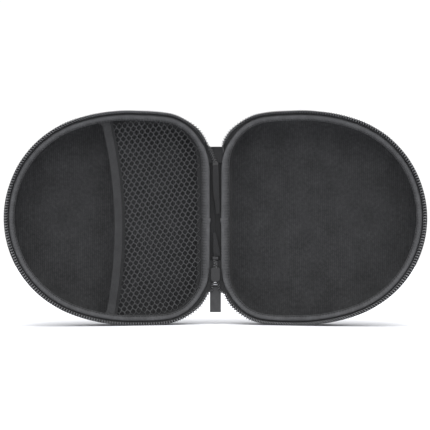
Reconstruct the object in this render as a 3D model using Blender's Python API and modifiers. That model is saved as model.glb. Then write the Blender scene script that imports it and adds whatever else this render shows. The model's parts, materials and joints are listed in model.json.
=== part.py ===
"""Hard clamshell headphone case, standing open on its long flanks, hinge upright.

World frame: +Z up, the open cavities face -Y, X runs across both halves. The origin is at the
middle of the bounding box's underside. Each half is designed in its own frame, whose Z axis is
the fold axis: x runs from the fold towards the nose, y runs from the rim into the bowl (minus is
in front of the rim), z is height. The left half is the mirror image of the right one.
"""

import math

import bmesh
import bpy
from mathutils import Vector

MM = 0.001

# Outline of one half, seen from the front
WIDTH = 182 * MM  # fold to the tip of the nose
HALF_HEIGHT = 96 * MM
CORNER_RADIUS = 44 * MM
NOSE_RADIUS = 92 * MM
FLAT_START = 56 * MM  # the flank is straight between these two distances from the fold
FLAT_END = 68 * MM
SHOULDER_RADIUS = 157 * MM  # arc between the flat and the corner

# Depth of one half
WALL_DEPTH = 19 * MM  # straight side wall, from the rim
CROWN_INSET = 30 * MM  # the wall rounds over into the back across this width
BACK_DEPTH = 32.5 * MM  # where the rounding ends
DOME = 1.5 * MM  # the back rises this much more at its middle

# Layers of the shell, from outside in
GAP = 0.3 * MM
COVER = 0.8 * MM
CORE = 3.0 * MM
LINING = 0.8 * MM
CORE_OFFSET = COVER + GAP
LINING_OFFSET = CORE_OFFSET + CORE + GAP
INSIDE_OFFSET = LINING_OFFSET + LINING

# Rim trim
BINDING_WIDTH = 5.4 * MM
BINDING = 1.2 * MM  # thickness of the folded ribbon, which lies on the rim's front face
BINDING_INSET = 4.2 * MM  # its outer edge, inside the zip
BINDING_HINGE_INSET = 1.0 * MM  # its outer edge along the hinge, where there is no zip
TAPE = 0.5 * MM
TAPE_ROOT = (3.2 * MM, -0.65 * MM)  # (inset from the outline, depth)
TAPE_EDGE = (1.7 * MM, -3.55 * MM)
COIL_RADIUS = 0.9 * MM
COIL_AT = (1.0 * MM, -4.7 * MM)
ZIP_REACH = 68 * MM  # a half's zip ends on the hinge-side corners this far above and below middle

# Hinge
FOLD_X = 6 * MM  # half the width of the spine
OPEN_TILT = math.radians(14)  # each half leans this far in from lying flat open
FRONT_TO_BACK = 11.59 * MM  # puts the bounding box's middle at y = 0
SPINE_LOW = 53 * MM
SPINE_HIGH = 162 * MM
SPINE_HALF_WIDTH = FOLD_X - GAP
SPINE_LAYER = 0.8 * MM

# Mesh pocket
NET = 0.8 * MM
NET_DEPTH = 6 * MM
NET_CLEARANCE = 0.8 * MM  # between the net and the lining
POCKET_MIDDLE = 76 * MM  # from the fold to the net's free edge at mid height
POCKET_BOW = 9 * MM  # the free edge bows this far towards the hinge
HEM_WIDTH = 2.6 * MM
HEM = 1.2 * MM
ELASTIC_WIDTH = 7.7 * MM
ELASTIC = 1.6 * MM

# Slider and puller
SLIDER_MIDDLE = 44.5 * MM
SLIDER_LENGTH = 13 * MM
SLIDER_WIDTH = 8.2 * MM
SLIDER_PLATE = 1.0 * MM
POST_REACH = 0.8 * MM
CHAIN_Y = -3.0 * MM  # the joined chain's plane, from the fold axes
CHAIN_THICKNESS = 1.9 * MM
CHAIN_WIDTH = 4.2 * MM
TAPE_END_WIDTH = 6 * MM
STOP_PROUD = 0.5 * MM  # the end stops are this much wider than the chain on each side
CHAIN_ROUNDING = 0.4 * MM
LOWER_CHAIN = (52.3 * MM, 58 * MM)  # heights between which each piece of the chain's ends lies
LOWER_STOP = (58.3 * MM, 61 * MM)
UPPER_STOP = (143.7 * MM, 146.7 * MM)
UPPER_CHAIN = (147 * MM, 161 * MM)
TAPE_END_BEHIND = 0.2 * MM  # the spare tape lies this far behind the chain's middle
LOWER_TAPE_END = ((0, 61.4 * MM), (0, 70 * MM), (0, 77 * MM))  # (x, z) along its middle
UPPER_TAPE_END = ((0, 143.3 * MM), (0.3 * MM, 134 * MM), (0.8 * MM, 122 * MM), (1.1 * MM, 110 * MM))
BRIDGE_HEIGHT = 2.8 * MM
BRIDGE_WALL = 0.9 * MM
BRIDGE_LOW = 0.3  # where the arch starts and ends, as parts of the slider's length from its middle
BRIDGE_HIGH = 0.36
BRIDGE_REACH = 1.1 * MM
BRIDGE_CORNER = 1.6 * MM
POST_LOW = -0.42  # the dividing post's ends, as parts of the slider's length from its middle
POST_HIGH = -0.12
PLATE_TIP = 0.42  # the plate's corner radii, as parts of its width
PLATE_TOP = 0.2
PLATE_BEVEL = 0.2 * MM
LINK_WIRE = 0.7 * MM
LINK_LENGTH = 6.6 * MM  # between the middles of its bars
LINK_TOP = 2.9 * MM  # half the width of the loop at the bridge
LINK_BOTTOM = 4.6 * MM
LINK_CORNER = 1.2 * MM
TAB_LENGTH = 23 * MM
TAB_WIDTH = 10 * MM
TAB_THICKNESS = 1.8 * MM
TAB_ROUNDING = 0.5 * MM
KNUCKLE_NEAR = 2.2 * MM
KNUCKLE_WIDTH = 1.1 * MM
KNUCKLE_RADIUS = 1.8 * MM
KNUCKLE_BORE = 1.0 * MM

# Facets
CORNER_STEPS = 6
SHOULDER_STEPS = 2
NOSE_STEPS = 14
CROWN_STEPS = 5
POCKET_STEPS = 12
PLATE_STEPS = 5
KNUCKLE_STEPS = 8
LINK_STEPS = 3

LEFT = -1
RIGHT = 1


# Scene set-up

def clear_scene():
    for obj in list(bpy.data.objects):
        bpy.data.objects.remove(obj, do_unlink=True)


def new_collection(name):
    collection = bpy.data.collections.new(name)
    bpy.context.scene.collection.children.link(collection)
    return collection


def material(name, colour, roughness, metallic=0.0):
    found = bpy.data.materials.get(name)
    if found:
        return found
    made = bpy.data.materials.new(name)
    made.use_nodes = True
    shader = made.node_tree.nodes["Principled BSDF"]
    shader.inputs["Base Color"].default_value = (*colour, 1)
    shader.inputs["Roughness"].default_value = roughness
    shader.inputs["Metallic"].default_value = metallic
    return made


def cover_fabric():
    return material("cover_fabric", (0.035, 0.036, 0.038), 0.85)


def foam():
    return material("foam", (0.045, 0.045, 0.05), 0.95)


def lining_knit():
    return material("lining_knit", (0.055, 0.056, 0.058), 0.95)


def binding_ribbon():
    return material("binding_ribbon", (0.09, 0.09, 0.092), 0.8)


def zip_tape_weave():
    return material("zip_tape_weave", (0.03, 0.03, 0.032), 0.85)


def zip_nylon():
    return material("zip_nylon", (0.12, 0.12, 0.125), 0.4)


def net_thread():
    return material("net_thread", (0.1, 0.1, 0.1), 0.8)


def elastic_band():
    return material("elastic_band", (0.08, 0.08, 0.082), 0.85)


def painted_zinc():
    return material("painted_zinc", (0.05, 0.05, 0.052), 0.35, 0.6)


def bright_steel():
    return material("bright_steel", (0.6, 0.6, 0.6), 0.25, 1.0)


def rubber():
    return material("rubber", (0.07, 0.07, 0.072), 0.6)


def finish_object(name, mesh, look, parent, smooth=True):
    """Links a mesh as the named sub-part, under the empty that it moves with."""
    obj = bpy.data.objects.new(name, mesh)
    parts.objects.link(obj)
    obj.parent = parent
    obj.data.materials.append(look)
    if smooth:
        mesh.shade_smooth()
        mesh.set_sharp_from_angle(angle=math.radians(35))
    return obj


def mesh_from(bm, name, side=RIGHT):
    """Writes bm to a mesh, mirrored in X for the left half, with its faces pointing out."""
    if side == LEFT:
        bmesh.ops.scale(bm, vec=(-1, 1, 1), verts=bm.verts)
    bmesh.ops.recalc_face_normals(bm, faces=bm.faces)
    mesh = bpy.data.meshes.new(name)
    bm.to_mesh(mesh)
    bm.free()
    return mesh


def add_empty(name, location, turn=0.0, parent=None):
    empty = bpy.data.objects.new(name, None)
    parts.objects.link(empty)
    empty.location = location
    empty.rotation_euler = (0, 0, turn)
    empty.parent = parent
    return empty


# Outline of a half

def arc(centre, radius, start, end, steps):
    """Points along an arc, both ends included; angles in radians from +x towards +z."""
    turn = (end - start) / steps
    return [
        (centre[0] + radius * math.cos(start + turn * i), centre[1] + radius * math.sin(start + turn * i))
        for i in range(steps + 1)
    ]


def upper_outline(inset, stop_height=None):
    """The upper half of the outline moved in by inset, from the nose's tip to the hinge side.

    Heights are from mid height. With a stop height, the last corner ends where it passes it.
    """
    nose = Vector((WIDTH - NOSE_RADIUS, 0))
    across = nose.x - FLAT_END
    flank_radius = (across**2 + HALF_HEIGHT**2 - NOSE_RADIUS**2) / (2 * (HALF_HEIGHT - NOSE_RADIUS))
    flank = Vector((FLAT_END, HALF_HEIGHT - flank_radius))
    nose_end = math.atan2(nose.y - flank.y, nose.x - flank.x)
    shoulder = Vector((FLAT_START, HALF_HEIGHT - SHOULDER_RADIUS))
    reach = SHOULDER_RADIUS - CORNER_RADIUS
    rise = math.sqrt(reach**2 - (FLAT_START - CORNER_RADIUS) ** 2)
    corner = Vector((CORNER_RADIUS, shoulder.y + rise))
    corner_start = math.atan2(corner.y - shoulder.y, corner.x - shoulder.x)
    corner_end = math.pi
    if stop_height is not None:
        corner_end -= math.asin((stop_height - corner.y) / (CORNER_RADIUS - inset))
    top = math.pi / 2
    points = arc(nose, NOSE_RADIUS - inset, 0, nose_end, NOSE_STEPS // 2)
    points += arc(flank, flank_radius - inset, nose_end, top, SHOULDER_STEPS)[1:]
    points += arc(shoulder, SHOULDER_RADIUS - inset, top, corner_start, SHOULDER_STEPS)
    points += arc(corner, CORNER_RADIUS - inset, corner_start, corner_end, CORNER_STEPS)[1:]
    return points


def mirrored_down(points):
    """The same points below mid height, in the opposite order."""
    return [(x, -z) for x, z in reversed(points)]


def in_half(points, depth):
    """Outline points as 3-D points of the half's frame, at one depth."""
    return [Vector((x, depth, z + HALF_HEIGHT)) for x, z in points]


def rim_path(inset, depth):
    """The whole closed outline, from the nose's tip over the top, the hinge side and the bottom."""
    upper = upper_outline(inset)
    return in_half(upper + mirrored_down(upper[1:]), depth)


def zip_path(inset, depth):
    """The open outline of the zip, from its lower hinge-side end round the nose to its upper one."""
    upper = upper_outline(inset, ZIP_REACH)
    return in_half(mirrored_down(upper) + upper[1:], depth)


# Mesh helpers

def add_ring(bm, points):
    return [bm.verts.new(point) for point in points]


def join_rings(bm, first, second, closed=True):
    count = len(first)
    for i in range(count if closed else count - 1):
        j = (i + 1) % count
        bm.faces.new((first[i], first[j], second[j], second[i]))


def solidify(obj, thickness, offset):
    made = obj.modifiers.new("thickness", "SOLIDIFY")
    made.thickness = thickness
    made.offset = offset
    made.use_even_offset = True
    made.use_quality_normals = True


def bevel(obj, width, segments=2):
    made = obj.modifiers.new("rounding", "BEVEL")
    made.width = width
    made.segments = segments
    made.limit_method = "ANGLE"
    made.angle_limit = math.radians(50)


# Shell layers

def crown_point(offset, lean):
    """(inset, depth) on the crown where its normal leans this far, moved in by offset.

    The crown is a quarter of an ellipse, from the side wall (lean 0) to the back (a right angle).
    """
    rise = BACK_DEPTH - WALL_DEPTH
    angle = math.atan2(rise * math.sin(lean), CROWN_INSET * math.cos(lean))
    inset = CROWN_INSET * (1 - math.cos(angle)) + offset * math.cos(lean)
    return inset, WALL_DEPTH + rise * math.sin(angle) - offset * math.sin(lean)


def bowl(name, inset, thickness, look, side, parent):
    """One moulded layer: a wall, a rounded crown and a slightly domed back, thickened inwards."""
    bm = bmesh.new()
    rings = [add_ring(bm, rim_path(inset, 0))]
    for step in range(CROWN_STEPS + 1):
        rings.append(add_ring(bm, rim_path(*crown_point(inset, math.pi / 2 * step / CROWN_STEPS))))
    back = rim_path(CROWN_INSET, BACK_DEPTH - inset)
    centre = Vector((WIDTH / 2, BACK_DEPTH - inset, HALF_HEIGHT))
    inner = [centre.lerp(point, 0.5) + Vector((0, DOME * 0.75, 0)) for point in back]
    rings.append(add_ring(bm, inner))
    for first, second in zip(rings, rings[1:]):
        join_rings(bm, first, second)
    peak = bm.verts.new(centre + Vector((0, DOME, 0)))
    last = rings[-1]
    for i, vert in enumerate(last):
        bm.faces.new((vert, last[(i + 1) % len(last)], peak))
    obj = finish_object(name, mesh_from(bm, name, side), look, parent)
    solidify(obj, thickness, offset=-1)
    return obj


def tube(name, points, radius, look, parent, side=RIGHT, closed=False, resolution=2):
    """A round bar along a path, as a curve with a bevel depth and filled caps."""
    curve = bpy.data.curves.new(name, "CURVE")
    curve.dimensions = "3D"
    curve.bevel_depth = radius
    curve.bevel_resolution = resolution
    curve.use_fill_caps = True
    spline = curve.splines.new("POLY")
    spline.points.add(len(points) - 1)
    for target, point in zip(spline.points, points):
        target.co = (point.x * side, point.y, point.z, 1)
    spline.use_cyclic_u = closed
    obj = bpy.data.objects.new(name, curve)
    parts.objects.link(obj)
    obj.parent = parent
    curve.materials.append(look)
    return obj


def binding_path(across):
    """A line along the binding, across its width from its outer edge.

    The binding moves out to the edge of the rim where the zip has left it, along the hinge side.
    """
    straight = upper_outline(0)[-1][1]
    depth = -GAP - BINDING / 2
    at_hinge = rim_path(BINDING_HINGE_INSET + across, depth)
    beside_zip = rim_path(BINDING_INSET + across, depth)
    path = []
    for near, far in zip(at_hinge, beside_zip):
        away = abs(near.z - HALF_HEIGHT)
        share = min(max((away - straight) / (ZIP_REACH - straight), 0), 1)
        path.append(near.lerp(far, share if near.x < CORNER_RADIUS else 1))
    return path


def binding(name, side, parent):
    bm = bmesh.new()
    join_rings(bm, add_ring(bm, binding_path(0)), add_ring(bm, binding_path(BINDING_WIDTH)))
    obj = finish_object(name, mesh_from(bm, name, side), binding_ribbon(), parent)
    solidify(obj, BINDING, offset=0)
    return obj


def zip_tape(name, side, parent):
    """The woven strip that stands forward from the rim and carries the coil on its edge."""
    bm = bmesh.new()
    root = add_ring(bm, zip_path(*TAPE_ROOT))
    edge = add_ring(bm, zip_path(*TAPE_EDGE))
    join_rings(bm, root, edge, closed=False)
    obj = finish_object(name, mesh_from(bm, name, side), zip_tape_weave(), parent)
    solidify(obj, TAPE, offset=0)
    return obj


def zip_coil(name, side, parent):
    return tube(name, zip_path(*COIL_AT), COIL_RADIUS, zip_nylon(), parent, side)


def half(side, parent):
    """All the pieces of one half, under the empty that stands on its fold axis."""
    prefix = "left" if side == LEFT else "right"
    bowl(f"{prefix}_cover", 0, COVER, cover_fabric(), side, parent)
    bowl(f"{prefix}_core", CORE_OFFSET, CORE, foam(), side, parent)
    bowl(f"{prefix}_lining", LINING_OFFSET, LINING, lining_knit(), side, parent)
    binding(f"{prefix}_binding", side, parent)
    zip_tape(f"{prefix}_zip_tape", side, parent)
    zip_coil(f"{prefix}_zip_coil", side, parent)


# Mesh pocket

def pocket_edge(height):
    """Distance from the fold to the net's free edge, at a height from the middle."""
    level = height / (HALF_HEIGHT - INSIDE_OFFSET)
    return POCKET_MIDDLE + POCKET_BOW * level**2


def wall_reach(inset, distance):
    """Half the height between the upper and lower walls at a distance from the fold."""
    points = upper_outline(inset)
    for (x0, z0), (x1, z1) in zip(points, points[1:]):
        if x1 <= distance <= x0 and x0 > x1:
            return z0 + (z1 - z0) * (x0 - distance) / (x0 - x1)
    return 0.0


def edge_strip(name, near, width, thickness, look, parent):
    """A flat band beyond the net's free edge, from near to near + width further out."""
    inset = INSIDE_OFFSET + NET_CLEARANCE
    bm = bmesh.new()
    sides = []
    for beyond in (near, near + width):
        reach = wall_reach(inset, POCKET_MIDDLE + POCKET_BOW + beyond)
        line = []
        for step in range(POCKET_STEPS + 1):
            height = reach * (2 * step / POCKET_STEPS - 1)
            line.append((pocket_edge(height) + beyond, height))
        sides.append(add_ring(bm, in_half(line, NET_DEPTH)))
    join_rings(bm, sides[0], sides[1], closed=False)
    obj = finish_object(name, mesh_from(bm, name, LEFT), look, parent)
    solidify(obj, thickness, offset=0)
    return obj


def pocket_net(parent):
    """The net sheet: the hinge-side part of the outline, cut off along the free edge."""
    inset = INSIDE_OFFSET + NET_CLEARANCE
    reach = wall_reach(inset, POCKET_MIDDLE + POCKET_BOW)
    free_edge = []
    for step in range(POCKET_STEPS + 1):
        level = 2 * step / POCKET_STEPS - 1
        free_edge.append((pocket_edge(reach * level), reach * level))
    walls = [(x, z) for x, z in upper_outline(inset) if x < POCKET_MIDDLE + POCKET_BOW - GAP]
    bm = bmesh.new()
    sheet = bm.faces.new(add_ring(bm, in_half(free_edge + walls + mirrored_down(walls), NET_DEPTH)))
    sheet.normal_update()
    bmesh.ops.triangulate(bm, faces=[sheet])
    obj = finish_object("pocket_net", mesh_from(bm, "pocket_net", LEFT), net_thread(), parent)
    solidify(obj, NET, offset=0)
    return obj


def pocket(parent):
    pocket_net(parent)
    edge_strip("pocket_hem", GAP, HEM_WIDTH, HEM, binding_ribbon(), parent)
    edge_strip("pocket_elastic", HEM_WIDTH + 2 * GAP, ELASTIC_WIDTH, ELASTIC, elastic_band(), parent)


# Spine

def block(name, low, high, look, parent, rounding=0.0):
    """A box between two corners, with rounded edges where rounding is given."""
    bm = bmesh.new()
    bmesh.ops.create_cube(bm, size=1)
    low, high = Vector(low), Vector(high)
    bmesh.ops.scale(bm, vec=high - low, verts=bm.verts)
    bmesh.ops.translate(bm, vec=(high + low) / 2, verts=bm.verts)
    obj = finish_object(name, mesh_from(bm, name), look, parent, smooth=rounding > 0)
    if rounding:
        bevel(obj, rounding)
    return obj


def spine(parent):
    """Outer fabric, thin pressed foam and lining: the flexible strip between the two halves."""
    layers = (
        ("spine_cover", cover_fabric(), 2),
        ("spine_core", foam(), 1),
        ("spine_lining", lining_knit(), 0),
    )
    for name, look, level in layers:
        near = level * (SPINE_LAYER + GAP) - SPINE_LAYER
        low = (-SPINE_HALF_WIDTH, near, SPINE_LOW)
        high = (SPINE_HALF_WIDTH, near + SPINE_LAYER, SPINE_HIGH)
        block(name, low, high, look, parent)


def flat_strip(name, centres, width, thickness, look, parent):
    """A ribbon in the X-Z plane through (x, y, z) centres."""
    bm = bmesh.new()
    reach = Vector((width / 2, 0, 0))
    left = add_ring(bm, [Vector(c) - reach for c in centres])
    right = add_ring(bm, [Vector(c) + reach for c in centres])
    join_rings(bm, left, right, closed=False)
    obj = finish_object(name, mesh_from(bm, name), look, parent)
    solidify(obj, thickness, offset=0)
    return obj


def chain_ends(parent):
    """The joined ends of the zip, sewn into the spine above and below, and its spare tape."""
    half_width = CHAIN_WIDTH / 2
    back = CHAIN_Y - CHAIN_THICKNESS / 2
    front = CHAIN_Y + CHAIN_THICKNESS / 2
    spans = (
        ("lower_chain_end", LOWER_CHAIN, zip_nylon(), half_width),
        ("lower_stop", LOWER_STOP, painted_zinc(), half_width + STOP_PROUD),
        ("upper_chain_end", UPPER_CHAIN, zip_nylon(), half_width),
        ("upper_stop", UPPER_STOP, painted_zinc(), half_width + STOP_PROUD),
    )
    for name, (low, high), look, reach in spans:
        block(name, (-reach, back, low), (reach, front, high), look, parent, CHAIN_ROUNDING)
    tape_y = CHAIN_Y + TAPE_END_BEHIND
    for name, line in (("lower_tape_end", LOWER_TAPE_END), ("upper_tape_end", UPPER_TAPE_END)):
        centres = [(x, tape_y, z) for x, z in line]
        flat_strip(name, centres, TAPE_END_WIDTH, TAPE, zip_tape_weave(), parent)


# Slider and puller

def shield(width, length):
    """A slider plate's outline: nearly square above, rounded to a blunt point below."""
    tip = width * PLATE_TIP
    top = width * PLATE_TOP
    right = arc((width / 2 - tip, tip - length / 2), tip, -math.pi / 2, 0, PLATE_STEPS)
    right += arc((width / 2 - top, length / 2 - top), top, 0, math.pi / 2, PLATE_STEPS)
    return right + [(-x, z) for x, z in reversed(right)]


def plate(bm, points, near, far, middle):
    """A closed plate of the outline between two y levels, added to bm."""
    front = add_ring(bm, [Vector((x, near, z + middle)) for x, z in points])
    back = add_ring(bm, [Vector((x, far, z + middle)) for x, z in points])
    join_rings(bm, front, back)
    bm.faces.new(front)
    bm.faces.new(list(reversed(back)))


def union(target, others):
    """Joins helper solids to the target; the helpers go to the cutters' collection."""
    for other in others:
        made = target.modifiers.new(other.name, "BOOLEAN")
        made.operation = "UNION"
        made.object = other
        parts.objects.unlink(other)
        cutters.objects.link(other)
        other.hide_render = True
        other.display_type = "WIRE"


def slider_plate(name, near, parent):
    bm = bmesh.new()
    plate(bm, shield(SLIDER_WIDTH, SLIDER_LENGTH), near, near + SLIDER_PLATE, SLIDER_MIDDLE)
    obj = finish_object(name, mesh_from(bm, name), painted_zinc(), parent)
    bevel(obj, PLATE_BEVEL, 1)
    return obj


def slider_body(parent):
    """Two shield plates joined by the dividing post, with the puller's bridge on the outer one."""
    inner_near = CHAIN_Y - CHAIN_THICKNESS / 2 - GAP - SLIDER_PLATE
    outer_near = CHAIN_Y + CHAIN_THICKNESS / 2 + GAP
    inner_middle = inner_near + SLIDER_PLATE / 2
    outer_middle = outer_near + SLIDER_PLATE / 2
    post_low = (-POST_REACH, inner_middle, SLIDER_MIDDLE + SLIDER_LENGTH * POST_LOW)
    post_high = (POST_REACH, outer_middle, SLIDER_MIDDLE + SLIDER_LENGTH * POST_HIGH)
    body = slider_plate("slider_body", inner_near, parent)
    outer = slider_plate("slider_outer_plate", outer_near, parent)
    post = block("slider_post", post_low, post_high, painted_zinc(), parent)
    union(body, [outer, post, bridge(outer_middle, parent)])
    return body


def bridge(base_y, parent):
    """The arch on the outer plate that the puller's link passes through."""
    bm = bmesh.new()
    low = SLIDER_MIDDLE - SLIDER_LENGTH * BRIDGE_LOW
    high = SLIDER_MIDDLE + SLIDER_LENGTH * BRIDGE_HIGH
    top = base_y + SLIDER_PLATE / 2 + BRIDGE_HEIGHT
    corner = BRIDGE_CORNER
    outer = [(low, base_y), (low, top - corner), (low + corner, top), (high - corner, top),
             (high, top - corner), (high, base_y)]
    wall = BRIDGE_WALL
    inner = [(low + wall, base_y), (low + wall, top - corner), (low + corner, top - wall),
             (high - corner, top - wall), (high - wall, top - corner), (high - wall, base_y)]
    rings = []
    for x in (-BRIDGE_REACH, BRIDGE_REACH):
        rings.append([bm.verts.new((x, y, z)) for z, y in outer])
        rings.append([bm.verts.new((x, y, z)) for z, y in inner])
    for first, second in ((0, 1), (2, 3), (0, 2), (1, 3)):
        join_rings(bm, rings[first], rings[second], closed=False)
    for end in (0, -1):
        bm.faces.new((rings[0][end], rings[1][end], rings[3][end], rings[2][end]))
    return finish_object("slider_bridge", mesh_from(bm, "slider_bridge"), painted_zinc(), parent)


def link_ends():
    """Where the link's upper bar turns in the bridge, and its lower bar, on which the tab turns."""
    outer_face = CHAIN_Y + CHAIN_THICKNESS / 2 + GAP + SLIDER_PLATE
    bridge_floor = SLIDER_MIDDLE - SLIDER_LENGTH * BRIDGE_LOW + BRIDGE_WALL
    upper = Vector((0, outer_face + GAP + LINK_WIRE, bridge_floor + GAP + LINK_WIRE))
    return upper, upper - Vector((0, 0, LINK_LENGTH))


def pull_link(parent):
    """A wire loop, narrow at the bridge and wide at the tab, its corners rounded."""
    quarter = math.pi / 2
    path = []
    for x, z, start in (
        (LINK_TOP - LINK_CORNER, -LINK_CORNER, quarter),
        (LINK_BOTTOM - LINK_CORNER, LINK_CORNER - LINK_LENGTH, 0),
        (LINK_CORNER - LINK_BOTTOM, LINK_CORNER - LINK_LENGTH, -quarter),
        (LINK_CORNER - LINK_TOP, -LINK_CORNER, -2 * quarter),
    ):
        path += arc((x, z), LINK_CORNER, start, start - quarter, LINK_STEPS)
    points = [Vector((x, 0, z)) for x, z in path]
    return tube("pull_link", points, LINK_WIRE, bright_steel(), parent, closed=True)


def knuckle(name, near, parent):
    """A short ring round the link's lower bar, from x = near outwards, whose foot is in the tab."""
    reach = KNUCKLE_RADIUS + TAB_THICKNESS / 2
    section = arc((0, 0), KNUCKLE_RADIUS, 0, math.pi, KNUCKLE_STEPS)
    outer = section + [(-TAB_THICKNESS / 2, -reach), (TAB_THICKNESS / 2, -reach)]
    inner = [(y * KNUCKLE_BORE / math.hypot(y, z), z * KNUCKLE_BORE / math.hypot(y, z)) for y, z in outer]
    bm = bmesh.new()
    rings = []
    for x in (near, near + KNUCKLE_WIDTH):
        for section in (outer, inner):
            rings.append(add_ring(bm, [Vector((x, y, z)) for y, z in section]))
    for first, second in ((0, 1), (2, 3), (0, 2), (1, 3)):
        join_rings(bm, rings[first], rings[second])
    return finish_object(name, mesh_from(bm, name), rubber(), parent)


def pull_tab(parent):
    """A flat moulded tab that hangs from the link's lower bar by two knuckles."""
    top = -KNUCKLE_RADIUS - GAP
    low = (-TAB_WIDTH / 2, -TAB_THICKNESS / 2, top - TAB_LENGTH)
    high = (TAB_WIDTH / 2, TAB_THICKNESS / 2, top)
    tab = block("pull_tab", low, high, rubber(), parent, TAB_ROUNDING)
    left = knuckle("tab_knuckle_left", -KNUCKLE_NEAR - KNUCKLE_WIDTH, parent)
    union(tab, [left, knuckle("tab_knuckle_right", KNUCKLE_NEAR, parent)])
    return tab


def build():
    """Spine at the fold, a half on each fold axis, and the slider with its hanging puller."""
    spine_root = add_empty("spine_root", (0, FRONT_TO_BACK, 0))
    for side, name in ((LEFT, "left_half"), (RIGHT, "right_half")):
        fold = add_empty(name, (side * FOLD_X, 0, 0), -side * OPEN_TILT, spine_root)
        half(side, fold)
        if side == LEFT:
            pocket(fold)
    spine(spine_root)
    chain_ends(spine_root)
    slider_body(spine_root)
    upper, lower = link_ends()
    link_pivot = add_empty("link_pivot", upper, parent=spine_root)
    pull_link(link_pivot)
    tab_pivot = add_empty("tab_pivot", lower - upper, parent=link_pivot)
    pull_tab(tab_pivot)


clear_scene()
parts = new_collection("headphone_case")
cutters = new_collection("cutters")
build()
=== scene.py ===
"""Headphone carrying case, standing open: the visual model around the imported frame.

All lengths are in metres. A point of one half is given as (s, d, t): s from the fold towards the
nose, d from the rim into the bowl (minus is in front of the rim), t from mid height.
"""

import json
import math

import bmesh
import bpy
import numpy as np
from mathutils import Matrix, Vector


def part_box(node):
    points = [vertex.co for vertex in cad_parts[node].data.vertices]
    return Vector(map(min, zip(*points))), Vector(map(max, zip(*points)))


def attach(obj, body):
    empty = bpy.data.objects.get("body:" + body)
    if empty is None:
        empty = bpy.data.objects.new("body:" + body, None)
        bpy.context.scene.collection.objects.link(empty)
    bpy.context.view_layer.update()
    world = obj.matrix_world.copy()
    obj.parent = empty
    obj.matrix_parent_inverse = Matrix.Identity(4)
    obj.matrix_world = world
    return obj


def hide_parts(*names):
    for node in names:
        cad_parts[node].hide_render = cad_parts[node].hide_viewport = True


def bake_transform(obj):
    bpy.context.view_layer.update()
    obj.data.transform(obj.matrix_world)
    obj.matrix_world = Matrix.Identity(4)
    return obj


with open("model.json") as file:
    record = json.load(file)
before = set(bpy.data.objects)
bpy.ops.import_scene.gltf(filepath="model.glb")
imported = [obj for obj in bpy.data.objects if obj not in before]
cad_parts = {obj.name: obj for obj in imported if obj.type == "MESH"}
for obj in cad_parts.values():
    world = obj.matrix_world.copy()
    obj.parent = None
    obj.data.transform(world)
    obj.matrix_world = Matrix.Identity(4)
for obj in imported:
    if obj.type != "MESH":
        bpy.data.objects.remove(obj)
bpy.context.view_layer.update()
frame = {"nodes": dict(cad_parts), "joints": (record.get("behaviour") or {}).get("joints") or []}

MM = 0.001
LEFT = -1
RIGHT = 1

# Outline and depth of a half, as in the CAD model
WIDTH = 182 * MM
HALF_HEIGHT = 96 * MM
CORNER_RADIUS = 44 * MM
NOSE_RADIUS = 92 * MM
FLAT_START = 56 * MM
FLAT_END = 68 * MM
SHOULDER_RADIUS = 157 * MM
WALL_DEPTH = 19 * MM
CROWN_INSET = 30 * MM
BACK_DEPTH = 32.5 * MM
DOME = 1.5 * MM
OPEN_TILT = math.radians(14)
OUTLINE_STEPS = (60, 12, 12, 48, 26)  # on the nose, flank, shoulder, corner and hinge side
SHARP_EDGE = math.radians(60)
OFF_AXIS = (0.31, 0.2, 0.93)  # no thread runs this way

# Layers: (outer offset, thickness)
COVER = (0.0, 0.8 * MM)
CORE = (1.1 * MM, 3.0 * MM)
LINING = (4.4 * MM, 0.8 * MM)
INSIDE = 5.2 * MM

# Rim trim
BINDING_WIDTH = 5.1 * MM
BINDING_INSET = 3.7 * MM  # outer edge, beside the zip
BINDING_HINGE_INSET = -0.7 * MM  # outer edge along the hinge
BINDING_HINGE_SPREAD = 1.5  # it lies this many times wider along the hinge
BINDING_BACK = -0.1 * MM  # depth of its underside
BINDING_STEP = 0.43 * MM
BINDING_SWELL = 0.12 * MM  # how far its height wanders
BINDING_LAP = 4 * MM  # this much of the ribbon's end lies over its start
LAP_RISE = 0.5 * MM
LAP_SHIFT = 0.7 * MM
# The binding's roll, from its outer edge: share of its width, height, and pull of a stitch, both in mm
BINDING_ROLL = np.array((
    (0.0, 0.0, 0.0), (0.02, 0.8, 0.0), (0.14, 1.45, 0.05), (0.3, 1.75, 0.12),
    (0.5, 1.65, 0.24), (0.7, 1.3, 0.42), (0.86, 0.7, 0.5), (0.92, 0.75, 0.3),
    (0.96, 0.55, 0.2), (0.99, 0.3, 0.1), (1.0, 0.0, 0.0),
))
STITCH_PITCH = 2.6 * MM
STITCH_ACROSS = 0.86  # the stitch line, as a share of the width from the outer edge
STITCH_SPAN = (0.14, 0.86)  # where a stitch starts and ends, as shares of the pitch
STITCH_RISE = np.array((0.3, 0.78, 0.92, 0.92, 0.78, 0.3)) * MM
THREAD_RADIUS = 0.2 * MM
TAPE_ROOT = (3.1 * MM, -0.4 * MM)  # (inset, depth), as are the next two
TAPE_EDGE = (1.6 * MM, -4.0 * MM)
COIL_AT = (1.35 * MM, -4.75 * MM)
TAPE_THICKNESS = 0.45 * MM
COIL_REACH = (1.35 * MM, 0.7 * MM)  # half the size of a loop, across the tape's edge and along it
COIL_CORE_RADIUS = 0.7 * MM
COIL_CORE_BEHIND = 0.45 * MM
COIL_PITCH = 2.3 * MM
ZIP_REACH = 68 * MM  # its ends are this far from mid height
ZIP_STEP = 0.8 * MM
ZIP_WANDER = 0.16 * MM
ZIP_LEAVES = 92 * MM  # nearer to mid height than this it stands away from the rim
LEAVES_OVER = 14 * MM
ZIP_AWAY = {LEFT: (2.7 * MM, 1.8 * MM), RIGHT: (1.4 * MM, 2.8 * MM)}  # at the lower and the upper end
ZIP_BACK = 0.4 * MM
COIL_WIRE = 0.42 * MM

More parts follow.
